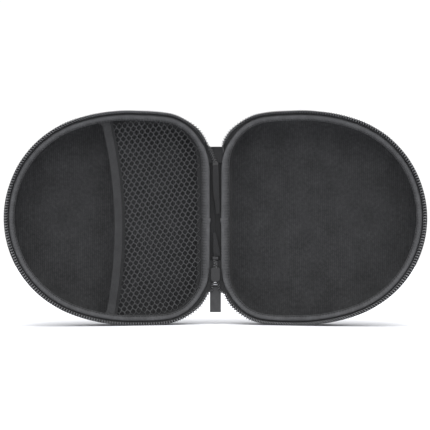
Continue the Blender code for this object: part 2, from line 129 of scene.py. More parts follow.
# Hinge valley: points (x, y, z) in mm
SPINE_BACK = 0.9 * MM  # the spine's layers settle this far behind the bindings
SPINE_STRIP = (3.1 * MM, 6.2 * MM)  # the middle and the width of each of its two strips
CHAIN_LEAN = ((-5.2, 8.7, 160.8), (-4.0, 8.7, 157.0), (-1.9, 8.6, 151.5), (-0.2, 8.5, 146.6))
LOWER_CHAIN = ((0, 8.6, 45), (0, 8.6, 52), (0, 8.6, 58))
CHAIN_APART = 0.62 * MM  # from the middle to each coil's axis
CHAIN_LOOP = (1.15 * MM, 0.7 * MM)
CHAIN_SEAM = (0.75 * MM, 0.3 * MM)  # each thread's distance from the middle, and behind it
CHAIN_SEAM_RADIUS = 0.45 * MM
LOWER_CROSSING = ((3.5, 7.9, 31.0), (2.8, 8.3, 35.5))
BESIDE_CHAIN = ((1.3, 38.0), (1.2, 43), (1.0, 48), (1.0, 57.5))  # (x, z), as deep as the chain
CROSSING_REACH = (1.0 * MM, 0.6 * MM)
CROSSING_THICKNESS = 0.4 * MM
CROSSING_SAG = 0.5 * MM
UPPER_CROSSING = {
    LEFT: ((-6.1, 7.6, 161.6), (-5.6, 8.3, 161.2), (-5.3, 8.6, 160.7)),
    RIGHT: ((6.4, 8.8, 161.2), (6.8, 10.4, 159.5), (7.2, 11.2, 157)),
}

# Folded tape ends, from the CAD end's middle depth and its foot (0) or top (1):
# (x, y, foot or top, height from there, half width) in mm
FOLDED_TAPES = {
    "upper": ((0.2, -0.9, 1, 1, 2.6), (0.2, -1.0, 1, -4, 2.9), (0.4, -0.6, 1, -16, 2.9),
              (1.0, 0, 1, -27, 2.8), (1.7, 1.0, 0, 0, 2.2), (2.1, 1.6, 0, -10, 1.8)),
    "lower": ((1.4, 0.2, 0, 0, 3.0), (0.6, -0.2, 0, 7, 2.8), (-0.3, 0.3, 1, 0, 2.0),
              (-1.2, 1.2, 1, 6, 1.2)),
}

# Puller's strap
STRAP_BACK = 13.1 * MM
STRAP_HEIGHTS = (32.6 * MM, 37.6 * MM)
STRAP_SIZE = (5.4 * MM, 0.8 * MM)

# Pocket
NET_DEPTH = 6 * MM
NET_TOP = 1.3 * MM  # its depth where it leaves the binding
NET_DIP = 14 * MM  # it reaches its depth this far in
NET_BELLY = 0.8 * MM
NET_MARGIN = 4.6 * MM  # plain knit between the wall and the first holes
THREAD_RISE = (0.36 * MM, 0.3 * MM)  # half the thread's thickness at its middle, and half way to the hole
POCKET_MIDDLE = 76 * MM
POCKET_BOW = 10.5 * MM
POCKET_LOW = -12 * MM  # the bow's lowest point lies this far below mid height
HEM_NEAR = -0.1 * MM
HEM_WIDTH = 2.5 * MM
ELASTIC_NEAR = 2.2 * MM
ELASTIC_WIDTH = 7.3 * MM
NET_STEP = (3.0 * MM, 3.38 * MM)  # (s, t) from one hole of the net to the next along a row
NET_ROW = (-2.02 * MM, 4.28 * MM)  # and to the next row
HOLE_RADIUS = 1.75 * MM
HOLE_ROUND = 0.36  # the hole's shape is this much circle
HOLE_CELL = 0.58  # and this much cell
NET_HOLES = 45  # holes and rows tried to each side of the net's middle
BAND_END = 12 * MM  # the ends of the pocket's bands spread over this length
OVERLOCK_PITCH = 1.5 * MM
POCKET_WALL = INSIDE - 1.0 * MM  # the inset of the wall that it hangs from
CELL_SIDE = 0.55  # 1 would make each cell of the net a regular hexagon, 0 a diamond

# Studio
FLOOR_REACH = 12.0
SURROUND_STRENGTH = 1.06
LIGHTS = (("overhead", (0, -0.35, 1.1), 2.0, 40), ("front", (0, -1.5, 0.8), 0.9, 30))
LENS = 78.2
CAMERA_X = -0.0004
CAMERA_AWAY = 0.850
CAMERA_HEIGHT = 0.056
AIM_HEIGHT = 0.099

SIDES = ((LEFT, "left"), (RIGHT, "right"))

FOLD = next(Vector(joint["pos_m"]) for joint in frame["joints"] if joint["name"] == "right_fold")


# Outline of a half

def arc(centre, radius, start, end, steps):
    angles = np.linspace(start, end, steps + 1)
    return np.column_stack((centre[0] + radius * np.cos(angles), centre[1] + radius * np.sin(angles)))


def upper_outline(inset, stop_height=None):
    """(s, t) points from the nose's tip over the top to the hinge side, moved in by inset."""
    steps = OUTLINE_STEPS
    nose = Vector((WIDTH - NOSE_RADIUS, 0))
    across = nose.x - FLAT_END
    flank_radius = (across**2 + HALF_HEIGHT**2 - NOSE_RADIUS**2) / (2 * (HALF_HEIGHT - NOSE_RADIUS))
    flank = Vector((FLAT_END, HALF_HEIGHT - flank_radius))
    nose_end = math.atan2(nose.y - flank.y, nose.x - flank.x)
    shoulder = Vector((FLAT_START, HALF_HEIGHT - SHOULDER_RADIUS))
    reach = SHOULDER_RADIUS - CORNER_RADIUS
    rise = math.sqrt(reach**2 - (FLAT_START - CORNER_RADIUS) ** 2)
    corner = Vector((CORNER_RADIUS, shoulder.y + rise))
    corner_start = math.atan2(corner.y - shoulder.y, corner.x - shoulder.x)
    corner_end = math.pi
    if stop_height is not None:
        corner_end -= math.asin((stop_height - corner.y) / (CORNER_RADIUS - inset))
    top = math.pi / 2
    flat = np.linspace((FLAT_END, HALF_HEIGHT - inset), (FLAT_START, HALF_HEIGHT - inset), 7)
    parts = [
        arc(nose, NOSE_RADIUS - inset, 0, nose_end, steps[0]),
        arc(flank, flank_radius - inset, nose_end, top, steps[1])[1:],
        flat[1:],
        arc(shoulder, SHOULDER_RADIUS - inset, top, corner_start, steps[2])[1:],
        arc(corner, CORNER_RADIUS - inset, corner_start, corner_end, steps[3])[1:],
    ]
    if stop_height is None:
        parts.append(np.linspace((inset, corner.y), (inset, 0), steps[4] + 1)[1:])
    return np.vstack(parts)


def whole_outline(inset):
    """The closed outline, starting at the nose's tip, over the top."""
    upper = upper_outline(inset)
    return np.vstack((upper, upper[-2:0:-1] * (1, -1)))


def with_depth(points, depth):
    """(s, t) points as (s, d, t)."""
    points = np.asarray(points, float)
    return np.column_stack((points[:, 0], np.broadcast_to(depth, len(points)), points[:, 1]))


def zip_line(inset, depth):
    """The zip's open line, from its lower hinge-side end round the nose to its upper one."""
    upper = upper_outline(inset, ZIP_REACH)
    return with_depth(np.vstack((upper[::-1] * (1, -1), upper[1:])), depth)


def leave_rim(line, side):
    """A zip line whose ends stand away from the rim towards the hinge, and lean back a little."""
    near = smoothstep((ZIP_LEAVES - np.abs(line[:, 2])) / LEAVES_OVER) * (line[:, 0] < CORNER_RADIUS)
    lower, upper = ZIP_AWAY[side]
    away = near * np.where(line[:, 2] > 0, upper, lower)
    return np.column_stack((line[:, 0] - away, line[:, 1] + near * ZIP_BACK, line[:, 2]))


def to_world(points, side=RIGHT):
    """(s, d, t) points of a half as points of the world."""
    points = np.asarray(points, float)
    s, d, t = points[..., 0], points[..., 1], points[..., 2]
    x = FOLD.x + s * math.cos(OPEN_TILT) + d * math.sin(OPEN_TILT)
    y = FOLD.y - s * math.sin(OPEN_TILT) + d * math.cos(OPEN_TILT)
    return np.stack((x * side, y, t + HALF_HEIGHT), axis=-1)


# Lines

def lengths(line):
    """Each point's distance along the line from its start."""
    return np.concatenate(([0], np.cumsum(np.linalg.norm(np.diff(line, axis=0), axis=1))))


def points_at(wanted, along, rows):
    """Rows of points or directions at the wanted distances; along is the distance of each row."""
    return np.column_stack([np.interp(wanted, along, rows[:, k]) for k in range(3)])


def resample(lines, count):
    """Parallel lines, each cut into the same count of even steps of the first one's length."""
    along = lengths(lines[0])
    wanted = np.linspace(0, along[-1], count + 1)
    return [points_at(wanted, along, line) for line in lines]


def smooth_line(points, count):
    """A Catmull-Rom curve through the points."""
    points = np.asarray(points, float)
    ends = np.vstack((2 * points[0] - points[1], points, 2 * points[-1] - points[-2]))
    out = []
    for i in range(len(points) - 1):
        p0, p1, p2, p3 = ends[i : i + 4]
        for step in np.linspace(0, 1, 12, endpoint=False):
            out.append(
                0.5 * (2 * p1 + (p2 - p0) * step + (2 * p0 - 5 * p1 + 4 * p2 - p3) * step**2
                       + (3 * p1 - p0 - 3 * p2 + p3) * step**3)
            )
    out.append(points[-1])
    return resample([np.array(out)], count)[0]


def unit(vectors):
    return vectors / np.maximum(np.linalg.norm(vectors, axis=-1, keepdims=True), 1e-12)


def tangents(line):
    """The line's direction at each point."""
    return unit(np.gradient(line, axis=0))


def smoothstep(value):
    value = np.clip(value, 0, 1)
    return value * value * (3 - 2 * value)


# Meshes

def placed(name, data):
    """A new object in the scene."""
    obj = bpy.data.objects.new(name, data)
    bpy.context.scene.collection.objects.link(obj)
    return obj


def make_object(name, verts, faces, look, cloth):
    """A mesh object with outward faces; cloth is each point's place on the flat material."""
    mesh = bpy.data.meshes.new(name)
    mesh.from_pydata(np.asarray(verts).tolist(), [], faces)
    bm = bmesh.new()
    bm.from_mesh(mesh)
    bmesh.ops.recalc_face_normals(bm, faces=bm.faces)
    bm.to_mesh(mesh)
    bm.free()
    kept = mesh.attributes.new("cloth", "FLOAT_VECTOR", "POINT")
    kept.data.foreach_set("vector", np.asarray(cloth, np.float32).ravel())
    mesh.shade_smooth()
    mesh.set_sharp_from_angle(angle=SHARP_EDGE)
    mesh.materials.append(look)
    return placed(name, mesh)


def grid_faces(rows, columns, start=0):
    """Quads between consecutive rows of points, each row closed on itself."""
    faces = []
    for i in range(rows - 1):
        for j in range(columns):
            k = (j + 1) % columns
            a, b = start + i * columns, start + (i + 1) * columns
            faces.append((a + j, a + k, b + k, b + j))
    return faces


def capped_tube(rows, columns, start=0):
    """The faces round and at both ends of a tube of rows of points."""
    last = start + (rows - 1) * columns
    ends = [tuple(range(start, start + columns)), tuple(range(last, last + columns))]
    return grid_faces(rows, columns, start) + ends


def thick_sheet(front, thickness):
    """Points and faces of a closed sheet; front is a grid of points, and y or d is its depth."""
    back = front + (0, thickness, 0)
    section = np.concatenate((front, back[:, ::-1]), axis=1)
    return section.reshape(-1, 3), capped_tube(*section.shape[:2])


def sweep(name, centres, across, up, section, look):
    """A closed section carried along a line, with flat ends. All points are in the world."""
    section = np.asarray(section, float)
    if section.ndim == 2:
        section = np.broadcast_to(section, (len(centres), *section.shape))
    verts = centres[:, None] + section[..., :1] * across[:, None] + section[..., 1:] * up[:, None]
    rows, columns = verts.shape[:2]
    along = lengths(centres)
    cloth = np.zeros((rows, columns, 3))
    cloth[..., 0] = along[:, None]
    cloth[..., 1] = section[..., 0]
    cloth[..., 2] = section[..., 1]
    faces = capped_tube(rows, columns)
    return make_object(name, verts.reshape(-1, 3), faces, look, cloth.reshape(-1, 3))


def ribbon_section(width, thickness, steps=8):
    """A flat strip's section with rounded edges, from its middle."""
    radius = thickness / 2
    right = arc((width / 2 - radius, 0), radius, -math.pi / 2, math.pi / 2, steps // 2)
    return np.vstack((right, right[::-1] * (-1, 1)))


def upright_strip(name, x, y, heights, size, facing, look, steps):
    """A straight flat strip between two heights, with size (width, thickness)."""
    line = np.linspace((x, y, heights[0]), (x, y, heights[1]), steps)
    across = np.tile((1.0, 0, 0), (steps, 1))
    up = np.tile((0, facing, 0), (steps, 1))
    return sweep(name, line, across, up, ribbon_section(*size), look)


def round_section(radius, count):
    angles = np.arange(count) * 2 * math.pi / count
    return np.column_stack((radius * np.cos(angles), radius * np.sin(angles)))


def tubes(name, lines, radius, sides, look):
    """Several round threads, tapered shut at their ends, as one object."""
    verts, faces, cloth = [], [], []
    ring = round_section(1, sides)
    for line in lines:
        forward = tangents(line)
        first = unit(np.cross(forward, OFF_AXIS))
        second = np.cross(forward, first)
        size = np.full(len(line), radius)
        size[[0, -1]] = radius * 0.35
        around = ring[:, :1] * first[:, None] + ring[:, 1:] * second[:, None]
        places = line[:, None] + size[:, None, None] * around
        faces += capped_tube(len(line), sides, len(verts))
        verts.extend(places.reshape(-1, 3))
        along = np.repeat(lengths(line), sides)
        turn = np.tile(np.arange(sides) * radius * 2 * math.pi / sides, len(line))
        cloth.extend(np.column_stack((along, turn, along * 0)))
    return make_object(name, verts, faces, look, cloth)


# Materials

class Nodes:
    """A short way to write a material's node graph."""

    def __init__(self, name, roughness, metallic=0.0, specular=0.12):
        self.material = bpy.data.materials.new(name)
        self.material.use_nodes = True
        self.tree = self.material.node_tree
        self.shader = self.tree.nodes["Principled BSDF"]
        self.shader.inputs["Roughness"].default_value = roughness
        self.shader.inputs["Metallic"].default_value = metallic
        self.shader.inputs["Specular IOR Level"].default_value = specular

    def node(self, kind):
        return self.tree.nodes.new("ShaderNode" + kind)

    def link(self, value, socket):
        self.tree.links.new(value, socket)

    def put(self, socket, value):
        if hasattr(value, "links"):
            self.link(value, socket)
        else:
            socket.default_value = value

    def math(self, operation, first, second=0.0, third=None):
        node = self.node("Math")
        node.operation = operation
        self.put(node.inputs[0], first)
        self.put(node.inputs[1], second)
        if third is not None:
            self.put(node.inputs[2], third)
        return node.outputs[0]

    def scaled(self, value, share, plus):
        """A value times a share, plus something."""
        return self.math("MULTIPLY_ADD", value, share, plus)

    def in_millimetres(self, vector):
        """Keeps the place for the noise, and gives its three values."""
        scale = self.node("VectorMath")
        scale.operation = "SCALE"
        scale.inputs["Scale"].default_value = 1000
        self.link(vector, scale.inputs[0])
        self.place = scale.outputs[0]
        node = self.node("SeparateXYZ")
        self.link(self.place, node.inputs[0])
        return node.outputs

    def cloth(self):
        """The place on the flat material, in millimetres, as three values."""
        node = self.node("Attribute")
        node.attribute_name = "cloth"
        return self.in_millimetres(node.outputs["Vector"])

    def solid(self):
        """The place in the object, in millimetres, as three values."""
        node = self.node("TexCoord")
        return self.in_millimetres(node.outputs["Object"])

    def noise(self, scale, detail):
        node = self.node("TexNoise")
        node.inputs["Scale"].default_value = scale
        node.inputs["Detail"].default_value = detail
        self.link(self.place, node.inputs["Vector"])
        return node.outputs["Fac"]

    def wave(self, value, pitch, power=1.0):
        """Rounded ribs, 0 to 1, one for each pitch."""
        turned = self.math("MULTIPLY", value, math.pi / pitch)
        ribs = self.math("ABSOLUTE", self.math("SINE", turned))
        return ribs if power == 1 else self.math("POWER", ribs, power)

    def colour(self, value, stops):
        """Grey levels at places of the value from 0 to 1."""
        node = self.node("ValToRGB")
        self.link(value, node.inputs[0])
        ramp = node.color_ramp
        ramp.elements[0].position, ramp.elements[1].position = stops[0][0], stops[-1][0]
        ramp.elements[0].color = grey(stops[0][1])
        ramp.elements[1].color = grey(stops[-1][1])
        for place, level in stops[1:-1]:
            ramp.elements.new(place).color = grey(level)
        self.link(node.outputs["Color"], self.shader.inputs["Base Color"])

    def roughen(self, value, low, high):
        spread = self.scaled(value, high - low, low)
        self.link(spread, self.shader.inputs["Roughness"])

    def finished(self, height, distance, sheen=0.0, sheen_roughness=0.5):
        """The material with its relief, where height 0 to 1 stands for distance, and its sheen."""
        node = self.node("Bump")
        node.inputs["Strength"].default_value = 1.0
        node.inputs["Distance"].default_value = distance
        self.link(height, node.inputs["Height"])
        self.link(node.outputs["Normal"], self.shader.inputs["Normal"])
        if sheen:
            self.shader.inputs["Sheen Weight"].default_value = sheen
            self.shader.inputs["Sheen Roughness"].default_value = sheen_roughness
        return self.material


def grey(level):
    """A nearly neutral colour, a little cool, as dyed black cloth is."""
    return (level * 0.98, level * 0.99, level * 1.03, 1)


def plain_weave(n, x, y, pitch):
    """Over-and-under threads, 0 to 1."""
    warp = n.wave(x, pitch, 0.7)
    weft = n.wave(y, pitch, 0.7)
    which = n.math("MULTIPLY", n.math("SINE", n.math("MULTIPLY", x, math.pi / pitch)),
                   n.math("SINE", n.math("MULTIPLY", y, math.pi / pitch)))
    over = n.math("GREATER_THAN", which, 0.0)
    first = n.math("MULTIPLY", warp, over)
    second = n.math("MULTIPLY", weft, n.math("SUBTRACT", 1.0, over))
    return n.math("ADD", first, second)


def blended(n, first, share, second, other):
    """One value times its share plus another times its own."""
    return n.scaled(first, share, n.math("MULTIPLY", second, other))


def cover_fabric():
    n = Nodes("cover_fabric_woven", 0.8)
    x, y, _ = n.cloth()
    weave = plain_weave(n, x, y, 0.7)
    cloudy = n.noise(0.06, 4)
    fuzz = n.noise(3.0, 5)
    tone = blended(n, weave, 0.45, fuzz, 0.4)
    tone = n.scaled(cloudy, 0.35, tone)
    n.colour(tone, ((0.2, 0.008), (0.6, 0.022), (1.0, 0.045)))
    n.roughen(fuzz, 0.7, 0.95)
    return n.finished(n.scaled(fuzz, 0.3, weave), 0.00022, 0.04)


def core_foam():
    n = Nodes("foam_cells", 0.9)
    n.solid()
    cells = n.noise(2.2, 6)
    n.colour(cells, ((0.25, 0.02), (0.75, 0.05)))
    return n.finished(cells, 0.0003)


def lining_knit():
    n = Nodes("lining_knit_ribs", 0.9, specular=0.08)
    x, y, _ = n.cloth()
    drift = n.noise(0.12, 2)
    across = n.scaled(drift, 0.5, x)
    ribs = n.wave(across, 1.8, 0.6)
    slant = n.scaled(n.wave(across, 1.8), 0.6, y)
    loops = n.wave(slant, 1.0)
    fuzz = n.noise(2.6, 6)
    cloudy = n.noise(0.05, 3)
    broken = n.math("MULTIPLY", ribs, n.scaled(n.noise(0.35, 3), 1.4, -0.2))
    height = n.scaled(loops, 0.35, n.scaled(fuzz, 0.45, broken))
    tone = blended(n, fuzz, 0.6, height, 0.35)
    tone = n.scaled(cloudy, 0.3, tone)
    n.colour(tone, ((0.25, 0.008), (0.65, 0.021), (1.0, 0.05)))
    return n.finished(height, 0.00035, 0.05, 0.6)


def binding_ribbon():
    n = Nodes("binding_grosgrain", 0.65)
    along, across, _ = n.cloth()
    ribs = n.wave(along, 0.75, 0.8)
    fuzz = n.noise(1.6, 5)
    cloudy = n.noise(0.15, 3)
    tone = blended(n, ribs, 0.35, fuzz, 0.45)
    tone = n.scaled(cloudy, 0.35, tone)
    wear_and_painted_light = n.scaled(across, -0.07, 0.2)  # painted light and shade: lighter along its outer edge, darker towards its inner edge
    tone = n.math("ADD", wear_and_painted_light, tone)
    n.colour(tone, ((0.25, 0.025), (0.62, 0.062), (0.95, 0.12)))
    n.roughen(fuzz, 0.55, 0.85)
    return n.finished(n.scaled(fuzz, 0.4, ribs), 0.00016, 0.06, 0.4)


def zip_tape_weave(name, tones):
    n = Nodes(name, 0.8)
    along, across, _ = n.cloth()
    zigzag = n.wave(across, 1.2)
    lines = n.wave(n.scaled(zigzag, 0.8, along), 0.6, 0.8)
    fuzz = n.noise(2.0, 5)
    tone = blended(n, lines, 0.4, fuzz, 0.5)
    n.colour(tone, tuple(zip((0.2, 0.55, 0.9), tones)))
    return n.finished(n.scaled(fuzz, 0.3, lines), 0.00018, 0.03)


def coil_nylon(name, tones):
    n = Nodes(name, 0.35, specular=0.5)
    n.solid()
    wear_and_painted_light = n.noise(0.8, 4)
    n.colour(wear_and_painted_light, tuple(zip((0.3, 0.7), tones)))
    n.roughen(wear_and_painted_light, 0.28, 0.5)
    return n.finished(n.noise(6.0, 3), 0.00003)


def sewing_thread(name, low, high):
    n = Nodes(name, 0.6)
    along, turn, _ = n.cloth()
    twist = n.wave(n.scaled(turn, 0.8, along), 0.35)
    n.colour(blended(n, n.noise(2.0, 3), 0.6, twist, 0.4), ((0.2, low), (0.9, high)))
    return n.finished(twist, 0.00008, 0.04)


def net_thread():
    n = Nodes("net_thread_knit", 0.7)
    x, y, _ = n.cloth()
    loops = n.wave(n.math("ADD", x, y), 0.55)
    cross = n.wave(n.math("SUBTRACT", x, y), 0.55)
    fuzz = n.noise(2.2, 5)
    twist = n.math("MULTIPLY", loops, cross)
    tone = blended(n, twist, 0.4, fuzz, 0.6)
    n.colour(tone, ((0.15, 0.03), (0.5, 0.064), (0.85, 0.115)))
    return n.finished(n.scaled(fuzz, 0.4, twist), 0.00018, 0.04)


def net_edge_knit():
    n = Nodes("net_edge_knit", 0.8)
    x, y, _ = n.cloth()
    loops = n.math("MULTIPLY", n.wave(x, 0.7), n.wave(y, 0.9))
    fuzz = n.noise(2.2, 5)
    n.colour(blended(n, loops, 0.4, fuzz, 0.5), ((0.15, 0.014), (0.5, 0.026), (0.85, 0.045)))
    return n.finished(loops, 0.0002, 0.04)


def elastic_weave():
    n = Nodes("elastic_woven", 0.75)
    along, across, _ = n.cloth()
    ribs = n.wave(across, 1.1, 0.6)
    picks = n.wave(along, 0.8)
    fuzz = n.noise(1.8, 5)
    cloudy = n.noise(0.1, 3)
    height = n.scaled(picks, 0.35, ribs)
    tone = blended(n, height, 0.3, fuzz, 0.45)
    tone = n.scaled(cloudy, 0.3, tone)
    n.colour(tone, ((0.3, 0.016), (0.65, 0.034), (1.0, 0.06)))
    return n.finished(height, 0.00028, 0.04)


def painted_zinc():
    n = Nodes("painted_zinc_worn", 0.4, metallic=0.3, specular=0.4)
    n.solid()
    edge = n.node("NewGeometry").outputs["Pointiness"]
    scuffs = n.noise(1.4, 6)
    wear_and_painted_light = blended(n, scuffs, 0.5, n.math("SUBTRACT", edge, 0.5), 2.0)
    n.colour(wear_and_painted_light, ((0.2, 0.016), (0.5, 0.028), (0.8, 0.09)))
    n.roughen(scuffs, 0.25, 0.5)
    return n.finished(n.noise(2.5, 3), 0.00004)


def bright_steel():
    n = Nodes("bright_plated_steel", 0.3, metallic=1.0)
    n.solid()
    scratches = n.noise(3.0, 5)
    n.colour(scratches, ((0.3, 0.5), (0.7, 0.7)))
    n.roughen(scratches, 0.22, 0.4)
    return n.finished(scratches, 0.00003)


def tab_rubber():
    n = Nodes("tab_rubber_grain", 0.55, specular=0.35)
    n.solid()
    grain = n.noise(3.5, 4)
    cloudy = n.noise(0.25, 3)
    tone = blended(n, grain, 0.5, cloudy, 0.5)
    n.colour(tone, ((0.3, 0.024), (0.7, 0.05)))
    n.roughen(grain, 0.45, 0.7)
    return n.finished(grain, 0.00012)


# Shell

def crown_point(offset, lean):
    """(inset, depth) where the crown's normal leans this far, moved in by offset."""
    rise = BACK_DEPTH - WALL_DEPTH
    angle = math.atan2(rise * math.sin(lean), CROWN_INSET * math.cos(lean))
    inset = CROWN_INSET * (1 - math.cos(angle)) + offset * math.cos(lean)
    return inset, WALL_DEPTH + rise * math.sin(angle) - offset * math.sin(lean)


def bowl_rings(offset):
    """Rings of one moulded surface from the rim to the back's middle, and their cloth places."""
    profile = [(offset, depth) for depth in np.linspace(0.0, WALL_DEPTH, 9)[:-1]]
    profile += [crown_point(offset, lean) for lean in np.linspace(0, math.pi / 2, 17)]
    profile = np.array(profile)
    unrolled = lengths(profile)
    rings = [with_depth(whole_outline(inset), depth) for inset, depth in profile]
    flat = [with_depth(whole_outline(CROWN_INSET - (unrolled[-1] - far)), 0) for far in unrolled]
    edge = rings[-1]
    centre = np.array((WIDTH / 2, profile[-1][1], 0))
    for share in (0.9, 0.75, 0.6, 0.45, 0.3, 0.15):
        ring = centre + (edge - centre) * share
        ring[:, 1] += DOME * (1 - share**2)
        rings.append(ring)
        flat.append(ring * (1, 0, 1))
    rings.append(np.array([centre + (0, DOME, 0)]))
    flat.append(rings[-1] * (1, 0, 1))
    return rings, flat


def bowl(name, layer, look, side):
    """One layer of a half's shell: two moulded surfaces joined along the rim."""
    offset, thickness = layer
    outer, outer_flat = bowl_rings(offset)
    inner, inner_flat = bowl_rings(offset + thickness)
    count = len(outer[0])
    verts = np.vstack(outer[:-1] + inner[:-1] + [outer[-1], inner[-1]])
    flat = np.vstack(outer_flat[:-1] + inner_flat[:-1] + [outer_flat[-1], inner_flat[-1]])
    rows = len(outer) - 1
    skin = rows * count  # the points of each surface, without its middle
    last = skin - count
    faces = grid_faces(rows, count) + grid_faces(rows, count, skin)
    for j in range(count):
        k = (j + 1) % count
        faces.append((j, k, skin + k, skin + j))
        faces.append((last + j, last + k, 2 * skin))
        faces.append((skin + last + j, skin + last + k, 2 * skin + 1))
    return make_object(name, to_world(verts, side), faces, look, flat[:, [0, 2, 1]])


def binding_line(across, depth):
    """A line along the binding, across its width from its outer edge, (s, d, t)."""
    near = with_depth(whole_outline(BINDING_HINGE_INSET + across * BINDING_HINGE_SPREAD), depth)
    far = with_depth(whole_outline(BINDING_INSET + across), depth)
    away = np.abs(near[:, 2])
    share = np.where(near[:, 0] < CORNER_RADIUS, smoothstep((away - 40 * MM) / (42 * MM)), 1)
    line = near + (far - near) * share[:, None]
    start = int(np.argmin(line[:, 0] + np.abs(line[:, 2]) * 0.01))
    return np.vstack((line[start:], line[: start + 1]))


def binding(side, prefix, look, thread):
    """A folded grosgrain ribbon, puckered where each stitch pulls it down, and its stitches."""
    outer = binding_line(0, BINDING_BACK)
    inner = binding_line(BINDING_WIDTH, BINDING_BACK)
    count = int(lengths(outer)[-1] / BINDING_STEP)
    outer, inner = resample([outer, inner], count)
    along = lengths((outer + inner) / 2)
    stitch = np.cos(2 * math.pi * along / STITCH_PITCH)
    places, heights, pulled = BINDING_ROLL.T
    heights, pulled = heights * MM, pulled * MM
    rng = np.random.default_rng(5 + side)
    knots = np.linspace(0, along[-1], 90)
    swell = np.interp(along, knots, rng.normal(0, BINDING_SWELL, 90))
    height = heights + swell[:, None] * (heights > 0) - pulled * (0.5 + 0.5 * stitch[:, None])
    lap = np.exp(-((along[:, None] / BINDING_LAP) ** 4))
    height = height + LAP_RISE * lap * (heights > 0)
    across = to_world(inner, side) - to_world(outer, side)
    width = np.linalg.norm(across, axis=1)[:, None]
    section = np.stack((places * width - LAP_SHIFT * lap, height), axis=-1)
    section[:, 0, 0] += 0.1 * MM
    front = to_world(outer - (0, 1 * MM, 0), side) - to_world(outer, side)
    ribbon = sweep(
        f"{prefix}_binding_ribbon", to_world(outer, side), unit(across), unit(front), section, look)
    ride(ribbon, prefix + "_half", "binding_ribbon", f"{prefix}_binding")
    middle = outer + (inner - outer) * STITCH_ACROSS
    lines = []
    for i in range(int(along[-1] / STITCH_PITCH)):
        span = np.linspace(i + STITCH_SPAN[0], i + STITCH_SPAN[1], len(STITCH_RISE)) * STITCH_PITCH
        line = points_at(span, along, middle)
        line[:, 1] -= STITCH_RISE
        lines.append(to_world(line, side))
    stitches = tubes(f"{prefix}_binding_stitches", lines, THREAD_RADIUS, 6, thread)
    ride(stitches, prefix + "_half", "binding_ribbon")


def ride(obj, body, slot, *replaced):
    """The piece moves with the body and stands for the nodes, which are hidden; slot is not used."""
    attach(obj, body)
    if replaced:
        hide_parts(*replaced)
    return obj


def coil_line(axis, out, front, pitch, start=0.0, along=None, reach=COIL_REACH):
    """A helix round an axis line, longer along out than along front.

    start is its first angle, and along where each point of the axis counts as being.
    The front leg of each loop covers its rear leg.
    """
    along = lengths(axis) if along is None else along
    turns = along[-1] / pitch
    count = int(turns * 12)
    angle = np.linspace(start, start + 2 * math.pi * turns, count + 1)
    wanted = (angle - start - np.sin(angle)) * pitch / (2 * math.pi)
    centre = points_at(wanted, along, axis)
    outward = unit(points_at(wanted, along, out))
    forward = unit(points_at(wanted, along, front))
    swing = reach[0] * np.cos(angle)[:, None] * outward
    return centre + swing + reach[1] * np.sin(angle)[:, None] * forward


def zip_side(side, prefix, looks):
    """The tape that stands forward from the rim, its nylon coil and the cord inside the coil."""
    root = zip_line(*TAPE_ROOT)
    edge = leave_rim(zip_line(*TAPE_EDGE), side)
    axis = leave_rim(zip_line(*COIL_AT), side)
    count = int(lengths(root)[-1] / ZIP_STEP)
    root, edge, axis = resample([root, edge, axis], count)
    rng = np.random.default_rng(11 + side)
    along = lengths(edge)
    wander = np.interp(along, np.linspace(0, along[-1], 60), rng.normal(0, ZIP_WANDER, 60))
    sideways = unit(np.cross(tangents(edge), edge - root))
    edge = edge + sideways * wander[:, None]
    axis = axis + sideways * wander[:, None]
    root, edge, axis = (to_world(line, side) for line in (root, edge, axis))
    up = unit(edge - root)
    out = unit(np.cross(tangents(axis), up))
    within = leave_rim(zip_line(COIL_AT[0] + 1 * MM, COIL_AT[1]), side)
    outward = unit(axis - to_world(resample([within], count)[0], side))
    lean = unit(up + 0.8 * outward)
    width = float(np.linalg.norm(edge - root, axis=1).mean())
    section = ribbon_section(width, TAPE_THICKNESS)
    tape = sweep(f"{prefix}_zip_tape_cloth", (root + edge) / 2, up, out, section, looks["tape"])
    ride(tape, prefix + "_half", "zip_tape_weave", f"{prefix}_zip_tape")
    start = math.pi if side == LEFT else 0.0  # the teeth of the halves fall between each other
    helix = coil_line(axis, lean, unit(np.cross(tangents(axis), lean)), COIL_PITCH, start, lengths(root))
    coil = tubes(f"{prefix}_zip_coil_teeth", [helix], COIL_WIRE, 6, looks["coil"])
    ride(coil, prefix + "_half", "zip_nylon", f"{prefix}_zip_coil")
    filler_line = axis - lean * COIL_CORE_BEHIND
    filler = tubes(f"{prefix}_zip_coil_core", [filler_line], COIL_CORE_RADIUS, 8, looks["core"])
    ride(filler, prefix + "_half", "zip_tape_weave")


def half(side, prefix, looks):
    """One half of the case without its pocket."""
    body = prefix + "_half"
    cover = bowl(f"{prefix}_cover_cloth", COVER, looks["cover"], side)
    ride(cover, body, "cover_fabric", f"{prefix}_cover")
    core = bowl(f"{prefix}_foam_shell", CORE, looks["foam"], side)
    ride(core, body, "foam", f"{prefix}_core")
    lining = bowl(f"{prefix}_lining_cloth", LINING, looks["lining"], side)
    ride(lining, body, "lining_knit", f"{prefix}_lining")
    binding(side, prefix, looks["binding"], looks["dark_thread"])
    zip_side(side, prefix, looks)


# Pocket

def free_edge(height):
    """Distance from the fold to the net's free edge."""
    return POCKET_MIDDLE + POCKET_BOW * ((height - POCKET_LOW) / (HALF_HEIGHT - INSIDE)) ** 2


def wall_reach(inset, distance):
    """Half the height between the upper and lower walls at a distance from the fold."""
    points = upper_outline(inset)
    points = points[np.argsort(points[:, 0])]
    return float(np.interp(distance, points[:, 0], points[:, 1]))


def border_distance(s, t, outline):
    """How far each (s, t) is inside the pocket's walls."""
    gaps = np.hypot(s[:, None] - outline[None, :, 0], t[:, None] - outline[None, :, 1])
    return gaps.min(axis=1)


